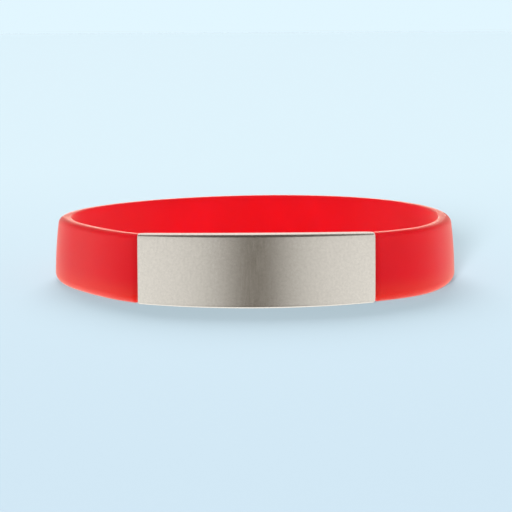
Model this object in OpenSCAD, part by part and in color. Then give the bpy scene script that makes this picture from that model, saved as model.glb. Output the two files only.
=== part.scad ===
// A soft wristband, a whole loop, with a bowed metal plate folded round its front.
// Millimetres, +Z up. The loop lies on its lower edge, with the plate facing -Y.
// The origin is under the middle of the whole part, on the surface that it lies on.

/* [Band] */
// Radius of the band's inner top edge along its sides and back
side_r = 32.4; // [30:0.1:36]
// Inner radius of the tight bend where the band enters each end of the plate
bend_r = 1.1; // [1:0.1:4]
// Height of the band's wall
band_h = 11.2; // [10.4:0.1:12.4]
// Thickness of the band's wall
wall = 2.2; // [2:0.1:3]
// How far the wall spreads outwards from its top edge to its foot, most of it near the top
flare = 0.8; // [0:0.05:1.5]
// Rounding of the band's outer top edge
top_round = 1; // [0.4:0.1:1.6]
// Rounding of the band's outer lower edge
foot_round = 1.6; // [0.4:0.1:2]
// Rounding of the band's two inner edges
inner_round = 0.3; // [0.2:0.05:0.4]
// Share by which the right side is deeper, and the left side shallower, than the middle
lopsided = 0.12; // [0:0.01:0.15]

/* [Plate] */
// Length of the plate, straight across from end to end
plate_l = 38.2; // [34:0.1:41]
// Radius of the plate's bow, measured at the band's inner top edge
bow_r = 43; // [40:1:60]
// Height of the plate at its two ends
plate_h = 11.35; // [11.1:0.05:12.4]
// How far the plate's lower edge swells down at the middle
swell = 0.15; // [0:0.05:0.4]
// How far the plate's upper edge swells up at the middle
crown = 0.5; // [0:0.05:0.6]
// Thickness of the sheet metal
sheet = 0.4; // [0.3:0.05:0.5]
// Outer radius of the folds along the plate's long edges
fold_r = 0.8; // [0.6:0.05:0.9]
// How far the plate's upper flange falls from its front fold to its back one
fall = 0.2; // [0:0.05:0.3]
// Height of the lips that hold the band from behind
lip_h = 2.4; // [1.5:0.1:3.5]
// How far the plate's face stands proud of the band's outer face
proud = 0.25; // [0.1:0.05:0.4]
// Clearance between the squeezed band and the face and folds of the plate
gap = 0.08; // [0.05:0.01:0.15]
// Clearance between the band and the lips behind it
lip_gap = 0.3; // [0.25:0.05:0.5]
// How far inside each end of the plate the band starts to bend
tuck = 1; // [0.5:0.1:1.2]

/* [Hidden] */

band_colour = "crimson";
plate_colour = "silver";

// The plan: the band's inner top edge as tangent arcs, by heading.
// The heading is 0 at the plate's middle, 90 at the right side and 180 at the back.
plate_out = wall + proud;
plate_turn = asin(plate_l / 2 / (bow_r + plate_out));
bow_turn = plate_turn - asin(tuck / bow_r);
bend_turn = asin((bow_r - bend_r) * sin(bow_turn) / (side_r - bend_r));
bend_centre = (side_r - bend_r) * [sin(bend_turn), -cos(bend_turn)];
bow_centre = bend_centre - (bow_r - bend_r) * [sin(bow_turn), -cos(bow_turn)];

// Past the bend, the lopsided share grows to its full size over this much heading.
settle_turn = 30;

// The plate's squeeze on the band holds until a little way outside the plate's end, and then fades.
held_past = 0.15;
held_after_bend = max(0, tuck + held_past - arc_length(bend_turn - bow_turn, bend_r));
mouth_turn = bend_turn + arc_turn(held_after_bend, side_r);
fade_turn = 4;

// The lower edge spreads straight forward in the plate, and outwards further round the loop.
lean_turn = 10;

// The least flat that the roundings leave on the band's two edges
least_flat = 0.05;

// The folds' centres, by their distance outwards from the plan
lip_back = -lip_gap - sheet;
near_fold = plate_out - fold_r;
far_fold = lip_back + fold_r;

// Heights over the surface. The plate touches it at the middle of its lower edge.
plate_lo = swell;
plate_hi = swell + plate_h;
band_lo = 0;
band_hi = band_lo + band_h;

// The whole part is moved by this much, to bring its middle over the origin.
// The lopsided back reaches furthest a little right of its middle.
back_reach = side_r * (1 + pow(lopsided, 2) / 2) + wall;
front_reach = bow_r + plate_out - bow_centre[1];
to_origin = [0, (front_reach - back_reach) / 2];

// Stations on each half of the loop: along the plate, the bend, the shoulder and the rest
bow_steps = 10;
bend_steps = 8;
shoulder_turn = 6;
shoulder_steps = 3;
side_steps = 30;
plate_steps = 12;

// Facets on the quarter round of an edge, and on a tall face
round_steps = 4;
crease_steps = 2;
face_steps = 6;

// A smooth step from 0 to 1 while t goes from 0 to 1
function ease(t) = let (s = min(1, max(0, t))) s * s * (3 - 2 * s);

function arc_length(turn, r) = turn * PI / 180 * r;
function arc_turn(length, r) = length / r * 180 / PI;
function on_arc(centre, r, heading) = centre + r * [sin(heading), -cos(heading)];

// The right half of the plan, before it is made lopsided
function half_plan(heading) =
    heading < bow_turn ? on_arc(bow_centre, bow_r, heading)
    : heading < bend_turn ? on_arc(bend_centre, bend_r, heading)
    : on_arc([0, 0], side_r, heading);

// The plan at any heading from -180 to 180
function plan(heading) =
    let (p = half_plan(abs(heading)),
         x = sign(heading) * p[0],
         share = lopsided * ease((abs(heading) - bend_turn) / settle_turn))
    to_origin + [x, p[1] * (1 + share * x / side_r)];

// The outward direction of the plan at a heading
function outward(heading) =
    let (step = 0.1,
         along = plan(heading + step) - plan(heading - step))
    [along[1], -along[0]] / norm(along);

// Headings of the stations, from the plate's middle to the back
function spread(from, to, steps) = [for (i = [0 : steps - 1]) from + (to - from) * i / steps];
half_headings = concat(
    spread(0, bow_turn, bow_steps),
    spread(bow_turn, bend_turn, bend_steps),
    spread(bend_turn, bend_turn + shoulder_turn, shoulder_steps),
    spread(bend_turn + shoulder_turn, 180, side_steps)
);
loop_headings = concat(
    half_headings,
    [180],
    [for (i = [len(half_headings) - 1 : -1 : 1]) -half_headings[i]]
);
plate_headings = [for (i = [-plate_steps : plate_steps]) plate_turn * i / plate_steps];

// A quarter round about a centre, turning by 90 degrees from a start angle
function quarter(centre, r, start, turn, steps) =
    [for (i = [0 : steps]) let (a = start + turn * i / steps) centre + r * [cos(a), sin(a)]];

// The points on a line between two others
function between(a, b) = [for (i = [1 : face_steps - 1]) a + (b - a) * i / face_steps];

// How far the upper flange has fallen at a distance outwards from the plan
function fallen(out) = fall * (near_fold - out) / (near_fold - far_fold);

// The band's section, as points outward and up, squeezed by 0 to 1
function band_section(squeeze) =
    let (lo = band_lo + squeeze * (plate_lo + sheet + gap - band_lo),
         hi = band_hi + squeeze * (plate_hi - sheet - gap - band_hi),
         out = wall + squeeze * (proud - sheet - gap),
         room = out - inner_round - least_flat,
         foot_r = min(foot_round, room),
         top_r = min(top_round, room),
         top = hi - squeeze * fallen(out - top_r) - top_r,
         inner_top = hi - squeeze * fallen(inner_round) - inner_round)
    concat(
        quarter([inner_round, lo + inner_round], inner_round, 180, 90, crease_steps),
        quarter([out - foot_r, lo + foot_r], foot_r, 270, 90, round_steps),
        between([out, lo + foot_r], [out, top]),
        quarter([out - top_r, top], top_r, 0, 90, round_steps),
        quarter([inner_round, inner_top], inner_round, 90, 90, crease_steps),
        between([0, inner_top], [0, lo + inner_round])
    );

// The plate's section, swollen by a share from 0 to 1: a channel with folds outside and creases inside
function plate_section(share) =
    let (lo = plate_lo - share * swell,
         hi = plate_hi + share * crown,
         crease_r = fold_r - sheet,
         inside = plate_out - sheet,
         low_far = [far_fold, lo + fold_r],
         low_near = [near_fold, lo + fold_r],
         high_near = [near_fold, hi - fold_r],
         high_far = [far_fold, hi - fall - fold_r])
    concat(
        [[lip_back, lo + lip_h]],
        quarter(low_far, fold_r, 180, 90, round_steps),
        quarter(low_near, fold_r, 270, 90, round_steps),
        between([plate_out, low_near[1]], [plate_out, high_near[1]]),
        quarter(high_near, fold_r, 0, 90, round_steps),
        quarter(high_far, fold_r, 90, 90, round_steps),
        [[lip_back, hi - fall - lip_h], [lip_back + sheet, hi - fall - lip_h]],
        quarter(high_far, crease_r, 180, -90, crease_steps),
        quarter(high_near, crease_r, 90, -90, crease_steps),
        between([inside, high_near[1]], [inside, low_near[1]]),
        quarter(low_near, crease_r, 0, -90, crease_steps),
        quarter(low_far, crease_r, 270, -90, crease_steps),
        [[lip_back + sheet, lo + lip_h]]
    );

// The way that the lower edge spreads at a heading
function lean(heading) =
    let (a = heading * ease((abs(heading) - mouth_turn) / lean_turn))
    [sin(a), -cos(a)];

// How far the wall has flared at a height: nothing at the band's top, and upright at its foot
function flared_at(z) = flare * (1 - pow(z / band_hi, 2));

// A section stood up at a place on the plan, with its outward side along n and its foot spread along way
function station(at, n, way, section) =
    [for (p = section) let (s = flared_at(p[1]))
        [at[0] + n[0] * p[0] + way[0] * s, at[1] + n[1] * p[0] + way[1] * s, p[1]]];

// A skin over a row of stations, which closes on itself or ends in two flat caps
module skin(stations, closed) {
    rows = len(stations);
    cols = len(stations[0]);
    sides = [
        for (i = [0 : rows - (closed ? 1 : 2)], j = [0 : cols - 1])
        let (a = i * cols + j,
             b = i * cols + (j + 1) % cols,
             c = (i + 1) % rows * cols + (j + 1) % cols,
             d = (i + 1) % rows * cols + j)
        each [[a, b, c], [a, c, d]]
    ];
    caps = closed ? [] : [
        [for (j = [cols - 1 : -1 : 0]) j],
        [for (j = [0 : cols - 1]) (rows - 1) * cols + j]
    ];
    polyhedron(points = [for (s = stations) each s], faces = concat(sides, caps), convexity = 6);
}

module band() {
    color(band_colour)
        skin([
            for (h = loop_headings)
            let (squeeze = 1 - ease((abs(h) - mouth_turn) / fade_turn))
            station(plan(h), outward(h), lean(h), band_section(squeeze))
        ], closed = true);
}

module plate() {
    color(plate_colour)
        skin([
            for (h = plate_headings)
            let (share = 1 - pow(h / plate_turn, 2),
                 at = to_origin + on_arc(bow_centre, bow_r, h))
            station(at, [sin(h), -cos(h)], lean(h), plate_section(share))
        ], closed = false);
}

band();
plate();
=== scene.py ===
import math

import bpy
import numpy as np
from mathutils import Matrix, Vector

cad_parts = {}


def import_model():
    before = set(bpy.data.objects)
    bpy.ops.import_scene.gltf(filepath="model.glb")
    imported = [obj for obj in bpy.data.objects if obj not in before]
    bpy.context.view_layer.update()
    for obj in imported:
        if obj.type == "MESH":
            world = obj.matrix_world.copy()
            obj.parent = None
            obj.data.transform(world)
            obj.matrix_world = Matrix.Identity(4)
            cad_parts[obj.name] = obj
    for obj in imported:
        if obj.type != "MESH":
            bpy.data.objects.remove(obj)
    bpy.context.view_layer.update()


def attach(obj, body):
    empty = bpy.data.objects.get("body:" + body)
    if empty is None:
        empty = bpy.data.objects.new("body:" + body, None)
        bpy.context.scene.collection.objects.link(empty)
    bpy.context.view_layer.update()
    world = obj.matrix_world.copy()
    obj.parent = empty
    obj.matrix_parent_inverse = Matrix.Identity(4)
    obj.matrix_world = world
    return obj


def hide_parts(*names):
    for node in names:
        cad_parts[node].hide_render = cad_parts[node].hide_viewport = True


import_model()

# A millimetre, in metres
MM = 0.001

# The sizes of the part, in millimetres and degrees, under the same names as in the CAD model
SIDE_R = 32.4
BEND_R = 1.1
BAND_H = 11.2
WALL = 2.2
FLARE = 0.8
TOP_ROUND = 1.0
FOOT_ROUND = 1.6
INNER_ROUND = 0.3
LOPSIDED = 0.12
SETTLE_TURN = 30.0
LEAN_TURN = 10.0
LEAST_FLAT = 0.05
PLATE_L = 38.2
BOW_R = 43.0
PLATE_H = 11.35
SWELL = 0.15
SHEET = 0.4
FALL = 0.2
LIP_H = 2.4
PROUD = 0.25
GAP = 0.08
LIP_GAP = 0.3
TUCK = 1.0

# The plate's crown, and the radius of its folds at its middle and at its two ends.
# All three are less than in the CAD model.
CROWN = 0.42
FOLD_R = 0.7
END_FOLD_R = 0.45

# The plate's corners, by the radius at the left and the right end, and the rounding of its cut edges
CORNER_R = (0.12, 0.3)
CUT_ROUND = 0.09

# The band's squeeze holds for a short length outside each end of the plate, and fades over another.
HOLD_LENGTH = 0.15
FADE_LENGTH = 0.9

# The plan: the band's inner top edge as tangent arcs, by heading in radians.
# The heading is 0 at the plate's middle, and pi at the back.
PLATE_OUT = WALL + PROUD
PLATE_TURN = math.asin(PLATE_L / 2 / (BOW_R + PLATE_OUT))
BOW_TURN = PLATE_TURN - math.asin(TUCK / BOW_R)
BEND_TURN = math.asin((BOW_R - BEND_R) * math.sin(BOW_TURN) / (SIDE_R - BEND_R))
BEND_CENTRE = ((SIDE_R - BEND_R) * math.sin(BEND_TURN), -(SIDE_R - BEND_R) * math.cos(BEND_TURN))
BOW_CENTRE = (0.0, BEND_CENTRE[1] + (BOW_R - BEND_R) * math.cos(BOW_TURN))

# The whole part is moved by this much, to bring its middle over the origin.
# The lopsided back reaches furthest a little right of its middle.
BACK_REACH = SIDE_R * (1 + LOPSIDED ** 2 / 2) + WALL
TO_ORIGIN_Y = (BOW_R + PLATE_OUT - BOW_CENTRE[1] - BACK_REACH) / 2

# The back of the lips, and the folds' centres at the plate's middle, by their distance outwards
LIP_BACK = -LIP_GAP - SHEET
NEAR_FOLD = PLATE_OUT - FOLD_R
FAR_FOLD = LIP_BACK + FOLD_R

# Heights over the floor. The plate touches it at the middle of its lower edge.
BAND_LO = 0.0
BAND_HI = BAND_LO + BAND_H
PLATE_LO = SWELL
PLATE_HI = PLATE_LO + PLATE_H

# The squeeze has faded within this much heading past the bend.
FADE_TURN = 8.0
FADED = BEND_TURN + math.radians(FADE_TURN)

# Stations on each half of the loop: along the plate, round the bend, where the squeeze fades, and the rest
BOW_STEPS = 40
BEND_STEPS = 20
FADE_STEPS = 40
SIDE_STEPS = 160

# Stations along the plate: at each corner, and between the corners
CORNER_STEPS = 8
PLATE_STEPS = 100

# Points on a quarter round of the band's inner edges, its outer edges and the plate's folds
CREASE_STEPS = 5
ROUND_STEPS = 12
FOLD_STEPS = 10

# Points on the plate's face, and the longest run between two points of the band's outline
FACE_STEPS = 12
LONGEST_RUN = 0.9

# Faces of the plate that meet at more than this angle, in degrees, meet at a cut edge.
CUT_ANGLE = 50.0

# Most of a noise lies between these two values.
NOISE_LOW = 0.3
NOISE_HIGH = 0.7

# The band's colour is painted paler from its foot up to this height, as painted light thrown up from a
# pale table below.
PAINTED_LIGHT_H = 4.5

# The colour of the soft light, and its strength from straight below and from straight above
LIGHT_COLOUR = (1.0, 0.96, 0.88)
LIGHT_BELOW = 1.25
LIGHT_ABOVE = 0.65

# The colour of the floor and the backdrop, and the glow of the floor's front, its back and the backdrop
SHEET_COLOUR = (0.125, 0.15, 0.17)
FRONT_GLOW = (0.157, 0.226, 0.274)
BACK_GLOW = (0.26, 0.329, 0.342)
BACKDROP_GLOW = (0.648, 0.795, 0.865)

# The floor's glow changes from this far in front of the part to this far behind it, in metres.
GLOW_REACH = 0.25

# The colour of the cards that only the gloss sees, under their glow
BLACK = (0.0, 0.0, 0.0)

# How far the floor reaches to each side, and the height of the backdrop at its far edge, in metres
FLOOR_REACH = 20.0
BACKDROP_H = 2.0

# The view, fitted to the outlines in the photograph, in degrees, millimetres and pixels
ELEVATION = 7.581
AZIMUTH = -0.557
ROLL = -0.277
DISTANCE = 290.55
IMAGE_SIDE = 512
SENSOR = 36.0
PIXELS_PER_MM = 5.611
AIM_PLACE = (0.0, -1.317, 5.6)
AIM_PIXEL = (254.7, 245.83)

# Nothing nearer to the camera than this is seen, in metres.
CLIP_START = 0.01


def ease(t):
    """A smooth step from 0 to 1 while t goes from 0 to 1."""
    s = np.clip(t, 0, 1)
    return s * s * (3 - 2 * s)


def on_arc(centre, r, heading):
    """Points on an arc, with heading 0 towards -Y."""
    return np.stack([centre[0] + r * np.sin(heading), centre[1] - r * np.cos(heading)], axis=-1)


def plan(heading):
    """The band's inner top edge, at headings from -pi to pi."""
    turn = np.abs(heading)
    half = np.where(
        (turn < BOW_TURN)[:, None],
        on_arc(BOW_CENTRE, BOW_R, turn),
        np.where(
            (turn < BEND_TURN)[:, None],
            on_arc(BEND_CENTRE, BEND_R, turn),
            on_arc((0.0, 0.0), SIDE_R, turn),
        ),
    )
    x = np.sign(heading) * half[:, 0]
    share = LOPSIDED * ease((turn - BEND_TURN) / math.radians(SETTLE_TURN))
    y = half[:, 1] * (1 + share * x / SIDE_R) + TO_ORIGIN_Y
    return np.stack([x, y], axis=-1)


def outward(heading):
    """The outward direction of the plan at each heading."""
    small_turn = 1e-3
    along = plan(heading + small_turn) - plan(heading - small_turn)
    normal = np.stack([along[:, 1], -along[:, 0]], axis=-1)
    return normal / np.linalg.norm(normal, axis=1)[:, None]


def quarter(centre, r, start, steps):
    """A quarter round, as points outward and up, from a start angle in degrees."""
    angles = np.radians(start + 90 * np.arange(steps + 1) / steps)
    return np.stack([centre[0] + r * np.cos(angles), centre[1] + r * np.sin(angles)], axis=-1)


def divided(outline, pattern):
    """A closed outline, cut into as many short runs as the long sides of a pattern need."""
    points = []
    sides = zip(outline, np.roll(outline, -1, axis=0), pattern, np.roll(pattern, -1, axis=0))
    for a, b, c, d in sides:
        cuts = max(1, math.ceil(np.linalg.norm(d - c) / LONGEST_RUN))
        points.extend(a + (b - a) * i / cuts for i in range(cuts))
    return np.array(points)


def fallen(out):
    """How far the plate's upper flange has fallen at a distance outwards from the plan."""
    return FALL * (NEAR_FOLD - out) / (NEAR_FOLD - FAR_FOLD)


def band_section(squeeze):
    """The band's outline where it is free (0) or squeezed by the plate (1)."""
    lo = BAND_LO + squeeze * (PLATE_LO + SHEET + GAP - BAND_LO)
    hi = BAND_HI + squeeze * (PLATE_HI - SHEET - GAP - BAND_HI)
    out = WALL + squeeze * (PROUD - SHEET - GAP)
    room = out - INNER_ROUND - LEAST_FLAT
    foot_r = min(FOOT_ROUND, room)
    top_r = min(TOP_ROUND, room)
    top = hi - squeeze * fallen(out - top_r) - top_r
    inner_top = hi - squeeze * fallen(INNER_ROUND) - INNER_ROUND
    return np.concatenate([
        quarter((INNER_ROUND, lo + INNER_ROUND), INNER_ROUND, 180, CREASE_STEPS),
        quarter((out - foot_r, lo + foot_r), foot_r, 270, ROUND_STEPS),
        quarter((out - top_r, top), top_r, 0, ROUND_STEPS),
        quarter((INNER_ROUND, inner_top), INNER_ROUND, 90, CREASE_STEPS),
    ])


def sheet_line(lo, hi, fold_r, inset):
    """One face of the plate's folded sheet: the outer one, or the inner one at an inset of the sheet."""
    r = fold_r - inset
    far_fold = LIP_BACK + fold_r
    near_fold = PLATE_OUT - fold_r
    face = np.stack([
        np.full(FACE_STEPS - 1, PLATE_OUT - inset),
        np.linspace(lo + fold_r, hi - fold_r, FACE_STEPS + 1)[1:-1],
    ], axis=-1)
    return np.concatenate([
        [[LIP_BACK + inset, lo + LIP_H]],
        quarter((far_fold, lo + fold_r), r, 180, FOLD_STEPS),
        quarter((near_fold, lo + fold_r), r, 270, FOLD_STEPS),
        face,
        quarter((near_fold, hi - fold_r), r, 0, FOLD_STEPS),
        quarter((far_fold, hi - FALL - fold_r), r, 90, FOLD_STEPS),
        [[LIP_BACK + inset, hi - FALL - LIP_H]],
    ])


def lean(heading):
    """The way that the lower edge spreads: straight forward in the plate, and outwards past its mouths."""
    a = heading * float(ease((abs(heading) - BEND_TURN) / math.radians(LEAN_TURN)))
    return np.array([math.sin(a), -math.cos(a)])


def stood_up(at, normal, heading, section):
    """A section set up at a place on the plan, with its foot spread by the flare."""
    spread = FLARE * (1 - (section[:, 1:] / BAND_HI) ** 2)
    xy = at + normal * section[:, :1] + lean(heading) * spread
    return np.column_stack([xy, section[:, 1]])


def squeeze_at(points, heading):
    """How far the plate squeezes the band at each point, from its distance outside the plate's end."""
    if abs(heading) > FADED:
        return np.zeros(len(points))
    end = on_arc(BOW_CENTRE, BOW_R, PLATE_TURN) + np.array([0.0, TO_ORIGIN_Y])
    along = np.array([math.cos(PLATE_TURN), math.sin(PLATE_TURN)])
    beyond = (np.stack([np.abs(points[:, 0]), points[:, 1]], axis=-1) - end) @ along
    return 1 - ease((beyond - HOLD_LENGTH) / FADE_LENGTH)


def loop_headings():
    """Headings round the loop, closer together at the bends and where the squeeze fades."""
    half = np.concatenate([
        np.linspace(0, BOW_TURN, BOW_STEPS, endpoint=False),
        np.linspace(BOW_TURN, BEND_TURN, BEND_STEPS, endpoint=False),
        np.linspace(BEND_TURN, FADED, FADE_STEPS, endpoint=False),
        np.linspace(FADED, math.pi, SIDE_STEPS, endpoint=False),
    ])
    return np.concatenate([half, [math.pi], -half[:0:-1]])


def mesh_object(name, points, faces):
    """A mesh in the scene, from its points in metres and its faces."""
    mesh = bpy.data.meshes.new(name)
    mesh.from_pydata(points, [], faces)
    piece = bpy.data.objects.new(name, mesh)
    bpy.context.scene.collection.objects.link(piece)
    return piece


def grid_mesh(name, rows, closed):
    """A smooth mesh over stations of a closed outline. The stations close on each other or stay open."""
    stations, around = rows.shape[:2]
    spans = stations if closed else stations - 1
    faces = [
        (
            i * around + j,
            i * around + (j + 1) % around,
            (i + 1) % stations * around + (j + 1) % around,
            (i + 1) % stations * around + j,
        )
        for i in range(spans)
        for j in range(around)
    ]
    if not closed:
        # Each cut end is a strip of quads between the sheet's outer line and its inner one.
        half = around // 2
        for j in range(half - 1):
            a, b, c, d = j, j + 1, around - 2 - j, around - 1 - j
            last = (stations - 1) * around
            faces.append((d, c, b, a))
            faces.append((last + a, last + b, last + c, last + d))
    piece = mesh_object(name, (rows.reshape(-1, 3) * MM).tolist(), faces)
    piece.data.validate()
    piece.data.shade_smooth()
    return piece


def band_piece():
    """The silicone band, a whole loop that narrows where the plate holds it."""
    corners = band_section(0.0)
    free = divided(corners, corners)
    held = divided(band_section(1.0), corners)
    headings = loop_headings()
    rows = []
    for at, normal, heading in zip(plan(headings), outward(headings), headings):
        loose = stood_up(at, normal, heading, free)
        tight = stood_up(at, normal, heading, held)
        share = squeeze_at(tight, heading)[:, None]
        rows.append(loose + (tight - loose) * share)
    return grid_mesh("silicone_band", np.array(rows), closed=True)


def plate_stations():
    """Places along the plate from its left end, closer together near the ends."""
    half = PLATE_L / 2
    corner = np.linspace(0, CORNER_R[1], CORNER_STEPS + 1)
    middle = np.linspace(-half + CORNER_R[1], half - CORNER_R[1], PLATE_STEPS + 1)[1:-1]
    return np.concatenate([corner - half, middle, half - corner[::-1]])


def corner_inset(place):
    """How far the rounded corner draws in the plate's long edges at a place along it."""
    r = CORNER_R[0] if place < 0 else CORNER_R[1]
    to_end = PLATE_L / 2 - abs(place)
    if to_end >= r:
        return 0.0
    return r - math.sqrt(max(0.0, r * r - (r - to_end) ** 2))


def plate_piece():
    """The bowed steel plate, one sheet with folded edges and two lips behind the band."""
    rows = []
    for place in plate_stations():
        share = place / (PLATE_L / 2)
        heading = PLATE_TURN * share
        swollen = 1 - share ** 2
        lo = PLATE_LO - SWELL * swollen + corner_inset(place)
        hi = PLATE_HI + CROWN * swollen - corner_inset(place)
        fold_r = END_FOLD_R + (FOLD_R - END_FOLD_R) * swollen
        outer = sheet_line(lo, hi, fold_r, 0.0)
        inner = sheet_line(lo, hi, fold_r, SHEET)
        outline = np.concatenate([outer, inner[::-1]])
        at = on_arc(BOW_CENTRE, BOW_R, np.array(heading)) + np.array([0.0, TO_ORIGIN_Y])
        normal = np.array([math.sin(heading), -math.cos(heading)])
        rows.append(stood_up(at, normal, heading, outline))
    piece = grid_mesh("steel_plate", np.array(rows), closed=False)
    piece.data.set_sharp_from_angle(angle=math.radians(CUT_ANGLE))
    bevel = piece.modifiers.new("cut_edges", "BEVEL")
    bevel.width = CUT_ROUND * MM
    bevel.segments = 2
    bevel.limit_method = "ANGLE"
    bevel.angle_limit = math.radians(CUT_ANGLE)
    return piece


class Nodes:
    """A short way to build a material's nodes."""

    def __init__(self, name):
        self.material = bpy.data.materials.new(name)
        self.material.use_nodes = True
        self.tree = self.material.node_tree
        self.shader = self.tree.nodes["Principled BSDF"]

    def add(self, kind, **values):
        """A node, with values for its sockets and its settings."""
        node = self.tree.nodes.new(kind)
        for key, value in values.items():
            if key in node.inputs:
                node.inputs[key].default_value = value
            else:
                setattr(node, key, value)
        return node

    def link(self, source, target):
        """Joins two sockets."""
        self.tree.links.new(source, target)

    def feed(self, node, values):
        """Gives each socket named here a plain value, or links it where the value is a socket."""
        for name, value in values.items():
            if isinstance(value, bpy.types.NodeSocket):
                self.link(value, node.inputs[name])
            else:
                node.inputs[name].default_value = value

    def shade(self, values):
        """Feeds the material's shader."""
        self.feed(self.shader, values)

    def along(self, axis):
        """How far along an axis each point of the piece lies, in metres."""
        where = self.add("ShaderNodeTexCoord")
        place = self.add("ShaderNodeSeparateXYZ")
        self.link(where.outputs["Object"], place.inputs["Vector"])
        return place.outputs[axis]

    def noise(self, scale, detail, stretch=(1.0, 1.0, 1.0)):
        """A noise over the piece, with so many waves to the metre, times a stretch along each axis."""
        where = self.add("ShaderNodeTexCoord")
        place = self.add("ShaderNodeMapping", Scale=stretch)
        noise = self.add("ShaderNodeTexNoise", Scale=scale, Detail=detail)
        self.link(where.outputs["Object"], place.inputs["Vector"])
        self.link(place.outputs["Vector"], noise.inputs["Vector"])
        return noise.outputs["Fac"]

    def ranged(self, noise, low, high):
        """A value from low to high, by a noise."""
        span = self.add("ShaderNodeMapRange")
        self.feed(span, {
            "Value": noise,
            "From Min": NOISE_LOW,
            "From Max": NOISE_HIGH,
            "To Min": low,
            "To Max": high,
        })
        return span.outputs["Result"]

    def colours(self, noise, first, second):
        """A colour between two, by a noise."""
        ramp = self.add("ShaderNodeValToRGB")
        stops = zip(ramp.color_ramp.elements, (NOISE_LOW, NOISE_HIGH), (first, second))
        for stop, position, colour in stops:
            stop.position = position
            stop.color = (*colour, 1.0)
        self.link(noise, ramp.inputs["Fac"])
        return ramp.outputs["Color"]

    def eased(self, source, start, end):
        """A smooth step from 0 to 1 while the source goes from start to end."""
        step = self.add("ShaderNodeMapRange", interpolation_type="SMOOTHSTEP")
        self.feed(step, {"Value": source, "From Min": start, "From Max": end})
        return step.outputs["Result"]

    def mixed(self, share, first, second, kind="RGBA"):
        """A colour or a number between two, by the share of the second."""
        mix = self.add("ShaderNodeMix", data_type=kind)
        self.feed(mix, {"Factor": share, "A": first, "B": second})
        return mix.outputs["Result"]

    def maths(self, operation, first, second):
        """A number worked out from two, each a socket or a plain number."""
        node = self.add("ShaderNodeMath", operation=operation)
        self.feed(node, {0: first, 1: second})
        return node.outputs["Value"]

    def bump(self, source, depth, strength):
        """Relief of a depth in metres, from the source."""
        bump = self.add("ShaderNodeBump", Strength=strength, Distance=depth)
        self.link(source, bump.inputs["Height"])
        return bump.outputs["Normal"]


def silicone():
    """Matte red silicone, slightly cloudy in its colour and its gloss, with its foot painted paler as if
    lit from below.
    """
    nodes = Nodes("red_silicone")
    clouds = nodes.noise(scale=90, detail=3)
    grain = nodes.noise(scale=5200, detail=2)
    reds = nodes.colours(clouds, (0.68, 0.0045, 0.015), (0.72, 0.0055, 0.019))
    # Painted light: the colour turns paler towards the foot, standing in for light bounced up from a pale
    # table.
    above_painted_light = nodes.eased(nodes.along("Z"), 0.0, PAINTED_LIGHT_H * MM)
    nodes.shade({
        "Base Color": nodes.mixed(above_painted_light, (0.72, 0.04, 0.03, 1.0), reds),
        "Roughness": nodes.ranged(clouds, 0.43, 0.48),
        "Normal": nodes.bump(grain, depth=0.02 * MM, strength=0.35),
        "IOR": 1.43,
        "Specular IOR Level": 0.29,
        "Sheen Weight": 0.36,
        "Sheen Roughness": 0.3,
        "Sheen Tint": (1.0, 0.93, 0.77, 1.0),
        "Subsurface Weight": 1.0,
        "Subsurface Radius": (4.0, 0.3, 0.4),
        "Subsurface Scale": MM,
    })
    return nodes.material


def steel():
    """Satin steel with faint upright brushing and a fine grain."""
    nodes = Nodes("satin_steel")
    brushing = nodes.noise(scale=900, detail=4, stretch=(4.0, 4.0, 0.25))
    grain = nodes.noise(scale=2700, detail=4)
    relief = nodes.mixed(0.5, brushing, grain, kind="FLOAT")
    tangent = nodes.add("ShaderNodeTangent", direction_type="RADIAL", axis="Z")
    nodes.shade({
        "Base Color": nodes.colours(grain, (0.75, 0.74, 0.725), (0.815, 0.805, 0.79)),
        "Roughness": nodes.ranged(brushing, 0.22, 0.27),
        "Normal": nodes.bump(relief, depth=0.004 * MM, strength=0.45),
        "Metallic": 1.0,
        "Anisotropic": 0.4,
        "Tangent": tangent.outputs["Tangent"],
    })
    return nodes.material


def stage_piece(name, points, faces, colour, hidden_from):
    """A matt piece of the stage, hidden from some kinds of ray, with its nodes to glow by."""
    piece = mesh_object(name, points, faces)
    for ray in hidden_from:
        setattr(piece, "visible_" + ray, False)
    nodes = Nodes(name)
    nodes.shade({
        "Base Color": (*colour, 1.0),
        "Roughness": 1.0,
        "Specular IOR Level": 0.0,
        "Emission Strength": 1.0,
    })
    piece.data.materials.append(nodes.material)
    return piece, nodes


def floor():
    """The floor, which only the camera sees, with a glow that changes from front to back."""
    r = FLOOR_REACH
    corners = [(-r, -r, 0), (r, -r, 0), (r, r, 0), (-r, r, 0)]
    piece, nodes = stage_piece("floor", corners, [(0, 1, 2, 3)], SHEET_COLOUR, ("glossy", "diffuse"))
    behind = nodes.eased(nodes.along("Y"), -GLOW_REACH, GLOW_REACH)
    nodes.shade({"Emission Color": nodes.mixed(behind, (*FRONT_GLOW, 1.0), (*BACK_GLOW, 1.0))})
    return piece


def backdrop():
    """A wall far behind the part, which only the camera sees, and which shades nothing."""
    r = FLOOR_REACH
    corners = [(-r, r, 0), (r, r, 0), (r, r, BACKDROP_H), (-r, r, BACKDROP_H)]
    hidden_from = ("glossy", "diffuse", "shadow")
    nodes = stage_piece("wall", corners, [(0, 1, 2, 3)], SHEET_COLOUR, hidden_from)[1]
    nodes.shade({"Emission Color": (*BACKDROP_GLOW, 1.0)})


def light_alone(light, lit):
    """Lets a light reach one piece and no other."""
    receivers = bpy.data.collections.new(light.name + "_lit")
    receivers.objects.link(lit)
    light.light_linking.receiver_collection = receivers


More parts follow.
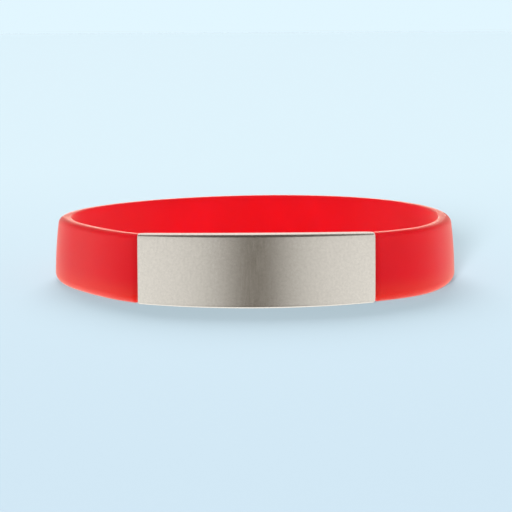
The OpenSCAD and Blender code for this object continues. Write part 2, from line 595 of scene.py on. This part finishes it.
def far_lamp(name, azimuth, elevation, spread, strength, lit):
    """A soft lamp far away, by its direction and spread in degrees, that lights one piece alone."""
    light = bpy.data.lights.new(name, "SUN")
    light.angle = math.radians(spread)
    light.energy = strength
    lamp = bpy.data.objects.new(name, light)
    lamp.visible_glossy = False
    bpy.context.scene.collection.objects.link(lamp)
    a = math.radians(azimuth)
    e = math.radians(elevation)
    way = Vector((math.sin(a) * math.cos(e), -math.cos(a) * math.cos(e), math.sin(e)))
    lamp.rotation_euler = way.to_track_quat("Z", "Y").to_euler()
    light_alone(lamp, lit)


def card(name, profile, half):
    """A black card that only the gloss sees, by its profile (y, z) and half its width, with its nodes."""
    points = [(sign * half, y, z) for y, z in profile for sign in (-1, 1)]
    faces = [(2 * i, 2 * i + 1, 2 * i + 3, 2 * i + 2) for i in range(len(profile) - 1)]
    return stage_piece(name, points, faces, BLACK, ("camera", "diffuse", "shadow"))


def flag(name, profile, half, middle, side, half_way):
    """A card with a dark glow in its middle and a paler one at its sides, half of each at half_way out."""
    nodes = card(name, profile, half)[1]
    squared = nodes.maths("POWER", nodes.along("X"), 2)
    share = nodes.maths("DIVIDE", squared, nodes.maths("ADD", squared, half_way ** 2))
    nodes.shade({"Emission Color": nodes.mixed(share, (*middle, 1.0), (*side, 1.0))})


def high_light(lit):
    """A wide soft light overhead, for the gloss of one piece alone."""
    piece, nodes = card("high_light", profile=[(-0.2, 1.5), (8.0, 1.5)], half=3.0)
    nodes.shade({"Emission Color": (1.12, 1.0, 0.92, 1.0)})
    light_alone(piece, lit)


def world():
    """Soft light from all round, stronger from below, as over a pale table."""
    sky = bpy.data.worlds.new("studio")
    sky.use_nodes = True
    tree = sky.node_tree
    background = tree.nodes["Background"]
    background.inputs["Color"].default_value = (*LIGHT_COLOUR, 1.0)
    where = tree.nodes.new("ShaderNodeTexCoord")
    place = tree.nodes.new("ShaderNodeSeparateXYZ")
    tree.links.new(where.outputs["Generated"], place.inputs["Vector"])
    strength = tree.nodes.new("ShaderNodeMapRange")
    strength.inputs["From Min"].default_value = -1.0
    strength.inputs["To Min"].default_value = LIGHT_BELOW
    strength.inputs["To Max"].default_value = LIGHT_ABOVE
    tree.links.new(place.outputs["Z"], strength.inputs["Value"])
    tree.links.new(strength.outputs["Result"], background.inputs["Strength"])
    bpy.context.scene.world = sky
    bpy.context.scene.view_settings.view_transform = "Standard"


def camera():
    """The camera, where the photograph was taken from."""
    e = math.radians(ELEVATION)
    a = math.radians(AZIMUTH)
    r = math.radians(ROLL)
    aim = Vector(AIM_PLACE) * MM
    back = Vector((math.sin(a) * math.cos(e), -math.cos(a) * math.cos(e), math.sin(e)))
    right = Vector((math.cos(a), math.sin(a), 0.0))
    up = back.cross(right)
    rolled_right = right * math.cos(r) + up * math.sin(r)
    rolled_up = up * math.cos(r) - right * math.sin(r)
    lens = bpy.data.cameras.new("camera")
    lens.sensor_width = SENSOR
    lens.lens = PIXELS_PER_MM * DISTANCE / IMAGE_SIDE * SENSOR
    lens.shift_x = (IMAGE_SIDE / 2 - AIM_PIXEL[0]) / IMAGE_SIDE
    lens.shift_y = (AIM_PIXEL[1] - IMAGE_SIDE / 2) / IMAGE_SIDE
    lens.clip_start = CLIP_START
    eye = bpy.data.objects.new("camera", lens)
    place = aim + back * DISTANCE * MM
    eye.matrix_world = Matrix((
        (rolled_right.x, rolled_up.x, back.x, place.x),
        (rolled_right.y, rolled_up.y, back.y, place.y),
        (rolled_right.z, rolled_up.z, back.z, place.z),
        (0.0, 0.0, 0.0, 1.0),
    ))
    bpy.context.scene.collection.objects.link(eye)
    bpy.context.scene.camera = eye


def dress(piece, node, material):
    """Hands a piece its material and its body, and hides the CAD node that it stands for."""
    piece.data.materials.append(material)
    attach(piece, "root")
    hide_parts(node)


camera()
world()
ground = floor()
backdrop()
band = band_piece()
plate = plate_piece()

# Two lamps draw the soft shadow on the floor, and three low ones make the band's wall and sides glow.
far_lamp("back_lamp", azimuth=-176, elevation=32, spread=36, strength=10.0, lit=ground)
far_lamp("front_lamp", azimuth=-12, elevation=9, spread=8, strength=28.0, lit=ground)
far_lamp("glow_lamp", azimuth=180, elevation=1, spread=2, strength=5.3, lit=band)
far_lamp("left_lamp", azimuth=-125, elevation=3, spread=6, strength=1.0, lit=band)
far_lamp("right_lamp", azimuth=125, elevation=3, spread=6, strength=0.85, lit=band)

# The low flag gives the plate its dark middle, and the high one the dark line under its upper fold.
flag(
    "low_flag",
    profile=[(-1.05, 0.42), (-1.05, -0.45), (-0.45, -1.1), (0.0, -1.1)],
    half=1.4,
    middle=(0.09, 0.07, 0.045),
    side=(0.93, 0.895, 0.825),
    half_way=0.25,
)
flag(
    "high_flag",
    profile=[(-1.05, 0.42), (-0.5, 1.1), (-0.15, 1.25)],
    half=1.6,
    middle=(0.06, 0.055, 0.045),
    side=(0.3, 0.28, 0.26),
    half_way=0.9,
)
high_light(plate)

dress(band, "band", silicone())
dress(plate, "plate", steel())
